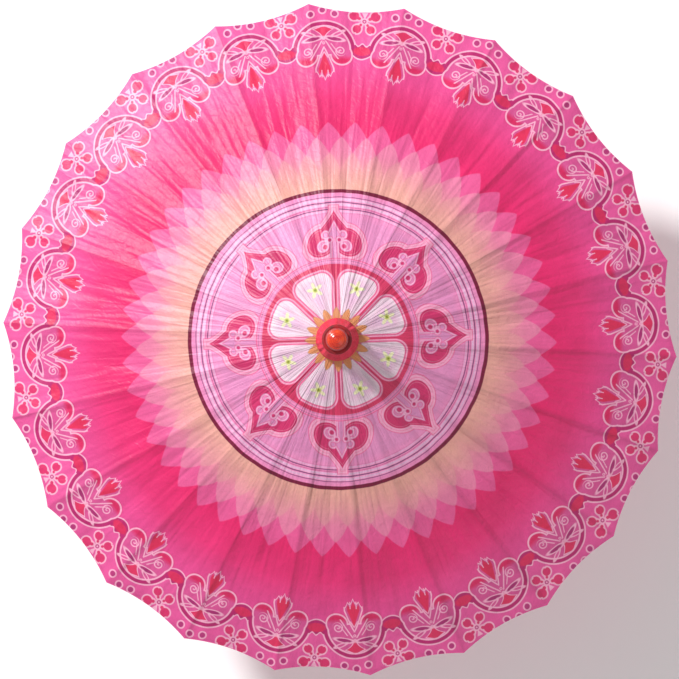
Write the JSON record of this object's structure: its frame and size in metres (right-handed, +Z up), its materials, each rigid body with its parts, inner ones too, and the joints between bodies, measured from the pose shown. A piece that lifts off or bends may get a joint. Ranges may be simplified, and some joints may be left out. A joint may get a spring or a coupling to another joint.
{
  "type": "oil paper umbrella",
  "caption": "Open paper umbrella: printed conical canopy on hinged bamboo ribs and stretchers, with a sliding runner on a straight shaft, a domed knob and a turned grip.",
  "frame": {"origin": "centre of the handle's flat lower end", "axes": "+Z up the shaft to the knob; +X through the first long rib"},
  "size_m": [0.84, 0.8314, 0.561],
  "materials": {
    "oiled_paper": "oiled, printed",
    "bamboo": "satin",
    "turned_wood": "satin",
    "red_lacquer": "gloss",
    "head_wrap": "oiled",
    "binding": "matte",
    "thread": "waxed"
  },
  "bodies": {
    "frame": {"shaft": "bamboo", "handle": "turned_wood", "top_notch": "turned_wood", "notch_thread": "thread", "catch_pin": "bamboo", "cap_cover": "head_wrap", "cap_binding": "binding", "finial": "red_lacquer", "canopy": "oiled_paper", "rim_thread": "thread"},
    "rib_01": {"long_rib_01": "bamboo"},
    "rib_02": {"long_rib_02": "bamboo"},
    "rib_03": {"long_rib_03": "bamboo"},
    "rib_04": {"long_rib_04": "bamboo"},
    "rib_05": {"long_rib_05": "bamboo"},
    "rib_06": {"long_rib_06": "bamboo"},
    "rib_07": {"long_rib_07": "bamboo"},
    "rib_08": {"long_rib_08": "bamboo"},
    "rib_09": {"long_rib_09": "bamboo"},
    "rib_10": {"long_rib_10": "bamboo"},
    "rib_11": {"long_rib_11": "bamboo"},
    "rib_12": {"long_rib_12": "bamboo"},
    "rib_13": {"long_rib_13": "bamboo"},
    "rib_14": {"long_rib_14": "bamboo"},
    "rib_15": {"long_rib_15": "bamboo"},
    "rib_16": {"long_rib_16": "bamboo"},
    "rib_17": {"long_rib_17": "bamboo"},
    "rib_18": {"long_rib_18": "bamboo"},
    "rib_19": {"long_rib_19": "bamboo"},
    "rib_20": {"long_rib_20": "bamboo"},
    "rib_21": {"long_rib_21": "bamboo"},
    "rib_22": {"long_rib_22": "bamboo"},
    "stretcher_01": {"short_rib_01": "bamboo"},
    "stretcher_02": {"short_rib_02": "bamboo"},
    "stretcher_03": {"short_rib_03": "bamboo"},
    "stretcher_04": {"short_rib_04": "bamboo"},
    "stretcher_05": {"short_rib_05": "bamboo"},
    "stretcher_06": {"short_rib_06": "bamboo"},
    "stretcher_07": {"short_rib_07": "bamboo"},
    "stretcher_08": {"short_rib_08": "bamboo"},
    "stretcher_09": {"short_rib_09": "bamboo"},
    "stretcher_10": {"short_rib_10": "bamboo"},
    "stretcher_11": {"short_rib_11": "bamboo"},
    "stretcher_12": {"short_rib_12": "bamboo"},
    "stretcher_13": {"short_rib_13": "bamboo"},
    "stretcher_14": {"short_rib_14": "bamboo"},
    "stretcher_15": {"short_rib_15": "bamboo"},
    "stretcher_16": {"short_rib_16": "bamboo"},
    "stretcher_17": {"short_rib_17": "bamboo"},
    "stretcher_18": {"short_rib_18": "bamboo"},
    "stretcher_19": {"short_rib_19": "bamboo"},
    "stretcher_20": {"short_rib_20": "bamboo"},
    "stretcher_21": {"short_rib_21": "bamboo"},
    "stretcher_22": {"short_rib_22": "bamboo"},
    "runner": {"runner": "turned_wood", "runner_thread": "thread"},
    "catch": {"spring_catch": "bamboo"}
  },
  "joints": [
    {"name": "rib_01_fold", "type": "hinge", "parent": "frame", "child": "rib_01", "pos_m": [0.018, 0, 0.515], "axis": [0, 1, 0], "range_deg": [0, 65.5], "deforming": ["canopy", "rim_thread", "spring_catch"]},
    {"name": "rib_02_fold", "type": "hinge", "parent": "frame", "child": "rib_02", "pos_m": [0.01727, 0.00507, 0.515], "axis": [-0.2817, 0.9595, 0], "range_deg": [0, 65.5]},
    {"name": "rib_03_fold", "type": "hinge", "parent": "frame", "child": "rib_03", "pos_m": [0.01514, 0.00973, 0.515], "axis": [-0.5406, 0.8413, 0], "range_deg": [0, 65.5]},
    {"name": "rib_04_fold", "type": "hinge", "parent": "frame", "child": "rib_04", "pos_m": [0.01179, 0.0136, 0.515], "axis": [-0.7557, 0.6549, 0], "range_deg": [0, 65.5]},
    {"name": "rib_05_fold", "type": "hinge", "parent": "frame", "child": "rib_05", "pos_m": [0.00748, 0.01637, 0.515], "axis": [-0.9096, 0.4154, 0], "range_deg": [0, 65.5]},
    {"name": "rib_06_fold", "type": "hinge", "parent": "frame", "child": "rib_06", "pos_m": [0.00256, 0.01782, 0.515], "axis": [-0.9898, 0.1423, 0], "range_deg": [0, 65.5]},
    {"name": "rib_07_fold", "type": "hinge", "parent": "frame", "child": "rib_07", "pos_m": [-0.00256, 0.01782, 0.515], "axis": [-0.9898, -0.1423, 0], "range_deg": [0, 65.5]},
    {"name": "rib_08_fold", "type": "hinge", "parent": "frame", "child": "rib_08", "pos_m": [-0.00748, 0.01637, 0.515], "axis": [-0.9096, -0.4154, 0], "range_deg": [0, 65.5]},
    {"name": "rib_09_fold", "type": "hinge", "parent": "frame", "child": "rib_09", "pos_m": [-0.01179, 0.0136, 0.515], "axis": [-0.7557, -0.6549, 0], "range_deg": [0, 65.5]},
    {"name": "rib_10_fold", "type": "hinge", "parent": "frame", "child": "rib_10", "pos_m": [-0.01514, 0.00973, 0.515], "axis": [-0.5406, -0.8413, 0], "range_deg": [0, 65.5]},
    {"name": "rib_11_fold", "type": "hinge", "parent": "frame", "child": "rib_11", "pos_m": [-0.01727, 0.00507, 0.515], "axis": [-0.2817, -0.9595, 0], "range_deg": [0, 65.5]},
    {"name": "rib_12_fold", "type": "hinge", "parent": "frame", "child": "rib_12", "pos_m": [-0.018, 0, 0.515], "axis": [0, -1, 0], "range_deg": [0, 65.5]},
    {"name": "rib_13_fold", "type": "hinge", "parent": "frame", "child": "rib_13", "pos_m": [-0.01727, -0.00507, 0.515], "axis": [0.2817, -0.9595, 0], "range_deg": [0, 65.5]},
    {"name": "rib_14_fold", "type": "hinge", "parent": "frame", "child": "rib_14", "pos_m": [-0.01514, -0.00973, 0.515], "axis": [0.5406, -0.8413, 0], "range_deg": [0, 65.5]},
    {"name": "rib_15_fold", "type": "hinge", "parent": "frame", "child": "rib_15", "pos_m": [-0.01179, -0.0136, 0.515], "axis": [0.7557, -0.6549, 0], "range_deg": [0, 65.5]},
    {"name": "rib_16_fold", "type": "hinge", "parent": "frame", "child": "rib_16", "pos_m": [-0.00748, -0.01637, 0.515], "axis": [0.9096, -0.4154, 0], "range_deg": [0, 65.5]},
    {"name": "rib_17_fold", "type": "hinge", "parent": "frame", "child": "rib_17", "pos_m": [-0.00256, -0.01782, 0.515], "axis": [0.9898, -0.1423, 0], "range_deg": [0, 65.5]},
    {"name": "rib_18_fold", "type": "hinge", "parent": "frame", "child": "rib_18", "pos_m": [0.00256, -0.01782, 0.515], "axis": [0.9898, 0.1423, 0], "range_deg": [0, 65.5]},
    {"name": "rib_19_fold", "type": "hinge", "parent": "frame", "child": "rib_19", "pos_m": [0.00748, -0.01637, 0.515], "axis": [0.9096, 0.4154, 0], "range_deg": [0, 65.5]},
    {"name": "rib_20_fold", "type": "hinge", "parent": "frame", "child": "rib_20", "pos_m": [0.01179, -0.0136, 0.515], "axis": [0.7557, 0.6549, 0], "range_deg": [0, 65.5]},
    {"name": "rib_21_fold", "type": "hinge", "parent": "frame", "child": "rib_21", "pos_m": [0.01514, -0.00973, 0.515], "axis": [0.5406, 0.8413, 0], "range_deg": [0, 65.5]},
    {"name": "rib_22_fold", "type": "hinge", "parent": "frame", "child": "rib_22", "pos_m": [0.01727, -0.00507, 0.515], "axis": [0.2817, 0.9595, 0], "range_deg": [0, 65.5]},
    {"name": "rib_01_stretcher", "type": "hinge", "parent": "rib_01", "child": "stretcher_01", "pos_m": [0.20156, 0, 0.43544], "axis": [0, 1, 0], "range_deg": [-131, 0]},
    {"name": "rib_02_stretcher", "type": "hinge", "parent": "rib_02", "child": "stretcher_02", "pos_m": [0.1934, 0.05679, 0.43544], "axis": [-0.2817, 0.9595, 0], "range_deg": [-131, 0]},
    {"name": "rib_03_stretcher", "type": "hinge", "parent": "rib_03", "child": "stretcher_03", "pos_m": [0.16957, 0.10897, 0.43544], "axis": [-0.5406, 0.8413, 0], "range_deg": [-131, 0]},
    {"name": "rib_04_stretcher", "type": "hinge", "parent": "rib_04", "child": "stretcher_04", "pos_m": [0.132, 0.15233, 0.43544], "axis": [-0.7557, 0.6549, 0], "range_deg": [-131, 0]},
    {"name": "rib_05_stretcher", "type": "hinge", "parent": "rib_05", "child": "stretcher_05", "pos_m": [0.08373, 0.18335, 0.43544], "axis": [-0.9096, 0.4154, 0], "range_deg": [-131, 0]},
    {"name": "rib_06_stretcher", "type": "hinge", "parent": "rib_06", "child": "stretcher_06", "pos_m": [0.02869, 0.19951, 0.43544], "axis": [-0.9898, 0.1423, 0], "range_deg": [-131, 0]},
    {"name": "rib_07_stretcher", "type": "hinge", "parent": "rib_07", "child": "stretcher_07", "pos_m": [-0.02869, 0.19951, 0.43544], "axis": [-0.9898, -0.1423, 0], "range_deg": [-131, 0]},
    {"name": "rib_08_stretcher", "type": "hinge", "parent": "rib_08", "child": "stretcher_08", "pos_m": [-0.08373, 0.18335, 0.43544], "axis": [-0.9096, -0.4154, 0], "range_deg": [-131, 0]},
    {"name": "rib_09_stretcher", "type": "hinge", "parent": "rib_09", "child": "stretcher_09", "pos_m": [-0.132, 0.15233, 0.43544], "axis": [-0.7557, -0.6549, 0], "range_deg": [-131, 0]},
    {"name": "rib_10_stretcher", "type": "hinge", "parent": "rib_10", "child": "stretcher_10", "pos_m": [-0.16957, 0.10897, 0.43544], "axis": [-0.5406, -0.8413, 0], "range_deg": [-131, 0]},
    {"name": "rib_11_stretcher", "type": "hinge", "parent": "rib_11", "child": "stretcher_11", "pos_m": [-0.1934, 0.05679, 0.43544], "axis": [-0.2817, -0.9595, 0], "range_deg": [-131, 0]},
    {"name": "rib_12_stretcher", "type": "hinge", "parent": "rib_12", "child": "stretcher_12", "pos_m": [-0.20156, 0, 0.43544], "axis": [0, -1, 0], "range_deg": [-131, 0]},
    {"name": "rib_13_stretcher", "type": "hinge", "parent": "rib_13", "child": "stretcher_13", "pos_m": [-0.1934, -0.05679, 0.43544], "axis": [0.2817, -0.9595, 0], "range_deg": [-131, 0]},
    {"name": "rib_14_stretcher", "type": "hinge", "parent": "rib_14", "child": "stretcher_14", "pos_m": [-0.16957, -0.10897, 0.43544], "axis": [0.5406, -0.8413, 0], "range_deg": [-131, 0]},
    {"name": "rib_15_stretcher", "type": "hinge", "parent": "rib_15", "child": "stretcher_15", "pos_m": [-0.132, -0.15233, 0.43544], "axis": [0.7557, -0.6549, 0], "range_deg": [-131, 0]},
    {"name": "rib_16_stretcher", "type": "hinge", "parent": "rib_16", "child": "stretcher_16", "pos_m": [-0.08373, -0.18335, 0.43544], "axis": [0.9096, -0.4154, 0], "range_deg": [-131, 0]},
    {"name": "rib_17_stretcher", "type": "hinge", "parent": "rib_17", "child": "stretcher_17", "pos_m": [-0.02869, -0.19951, 0.43544], "axis": [0.9898, -0.1423, 0], "range_deg": [-131, 0]},
    {"name": "rib_18_stretcher", "type": "hinge", "parent": "rib_18", "child": "stretcher_18", "pos_m": [0.02869, -0.19951, 0.43544], "axis": [0.9898, 0.1423, 0], "range_deg": [-131, 0]},
    {"name": "rib_19_stretcher", "type": "hinge", "parent": "rib_19", "child": "stretcher_19", "pos_m": [0.08373, -0.18335, 0.43544], "axis": [0.9096, 0.4154, 0], "range_deg": [-131, 0]},
    {"name": "rib_20_stretcher", "type": "hinge", "parent": "rib_20", "child": "stretcher_20", "pos_m": [0.132, -0.15233, 0.43544], "axis": [0.7557, 0.6549, 0], "range_deg": [-131, 0]},
    {"name": "rib_21_stretcher", "type": "hinge", "parent": "rib_21", "child": "stretcher_21", "pos_m": [0.16957, -0.10897, 0.43544], "axis": [0.5406, 0.8413, 0], "range_deg": [-131, 0]},
    {"name": "rib_22_stretcher", "type": "hinge", "parent": "rib_22", "child": "stretcher_22", "pos_m": [0.1934, -0.05679, 0.43544], "axis": [0.2817, 0.9595, 0], "range_deg": [-131, 0]},
    {"name": "runner_pivot", "type": "hinge", "parent": "stretcher_01", "child": "runner", "pos_m": [0.018, 0, 0.35589], "axis": [0, 1, 0], "range_deg": [0, 65.5]},
    {"name": "catch_press", "type": "hinge", "parent": "frame", "child": "catch", "pos_m": [0.0042, 0, 0.29329], "axis": [0, -1, 0], "range_deg": [0, 5], "stiffness_Nm_per_rad": 0.15, "springref_deg": -2.86}
  ],
  "couplings": [
    {"joint": "rib_02_fold", "follows": "rib_01_fold", "ratio": 1},
    {"joint": "rib_03_fold", "follows": "rib_01_fold", "ratio": 1},
    {"joint": "rib_04_fold", "follows": "rib_01_fold", "ratio": 1},
    {"joint": "rib_05_fold", "follows": "rib_01_fold", "ratio": 1},
    {"joint": "rib_06_fold", "follows": "rib_01_fold", "ratio": 1},
    {"joint": "rib_07_fold", "follows": "rib_01_fold", "ratio": 1},
    {"joint": "rib_08_fold", "follows": "rib_01_fold", "ratio": 1},
    {"joint": "rib_09_fold", "follows": "rib_01_fold", "ratio": 1},
    {"joint": "rib_10_fold", "follows": "rib_01_fold", "ratio": 1},
    {"joint": "rib_11_fold", "follows": "rib_01_fold", "ratio": 1},
    {"joint": "rib_12_fold", "follows": "rib_01_fold", "ratio": 1},
    {"joint": "rib_13_fold", "follows": "rib_01_fold", "ratio": 1},
    {"joint": "rib_14_fold", "follows": "rib_01_fold", "ratio": 1},
    {"joint": "rib_15_fold", "follows": "rib_01_fold", "ratio": 1},
    {"joint": "rib_16_fold", "follows": "rib_01_fold", "ratio": 1},
    {"joint": "rib_17_fold", "follows": "rib_01_fold", "ratio": 1},
    {"joint": "rib_18_fold", "follows": "rib_01_fold", "ratio": 1},
    {"joint": "rib_19_fold", "follows": "rib_01_fold", "ratio": 1},
    {"joint": "rib_20_fold", "follows": "rib_01_fold", "ratio": 1},
    {"joint": "rib_21_fold", "follows": "rib_01_fold", "ratio": 1},
    {"joint": "rib_22_fold", "follows": "rib_01_fold", "ratio": 1},
    {"joint": "rib_01_stretcher", "follows": "rib_01_fold", "ratio": -2},
    {"joint": "rib_02_stretcher", "follows": "rib_01_fold", "ratio": -2},
    {"joint": "rib_03_stretcher", "follows": "rib_01_fold", "ratio": -2},
    {"joint": "rib_04_stretcher", "follows": "rib_01_fold", "ratio": -2},
    {"joint": "rib_05_stretcher", "follows": "rib_01_fold", "ratio": -2},
    {"joint": "rib_06_stretcher", "follows": "rib_01_fold", "ratio": -2},
    {"joint": "rib_07_stretcher", "follows": "rib_01_fold", "ratio": -2},
    {"joint": "rib_08_stretcher", "follows": "rib_01_fold", "ratio": -2},
    {"joint": "rib_09_stretcher", "follows": "rib_01_fold", "ratio": -2},
    {"joint": "rib_10_stretcher", "follows": "rib_01_fold", "ratio": -2},
    {"joint": "rib_11_stretcher", "follows": "rib_01_fold", "ratio": -2},
    {"joint": "rib_12_stretcher", "follows": "rib_01_fold", "ratio": -2},
    {"joint": "rib_13_stretcher", "follows": "rib_01_fold", "ratio": -2},
    {"joint": "rib_14_stretcher", "follows": "rib_01_fold", "ratio": -2},
    {"joint": "rib_15_stretcher", "follows": "rib_01_fold", "ratio": -2},
    {"joint": "rib_16_stretcher", "follows": "rib_01_fold", "ratio": -2},
    {"joint": "rib_17_stretcher", "follows": "rib_01_fold", "ratio": -2},
    {"joint": "rib_18_stretcher", "follows": "rib_01_fold", "ratio": -2},
    {"joint": "rib_19_stretcher", "follows": "rib_01_fold", "ratio": -2},
    {"joint": "rib_20_stretcher", "follows": "rib_01_fold", "ratio": -2},
    {"joint": "rib_21_stretcher", "follows": "rib_01_fold", "ratio": -2},
    {"joint": "rib_22_stretcher", "follows": "rib_01_fold", "ratio": -2},
    {"joint": "runner_pivot", "follows": "rib_01_fold", "ratio": 1}
  ]
}
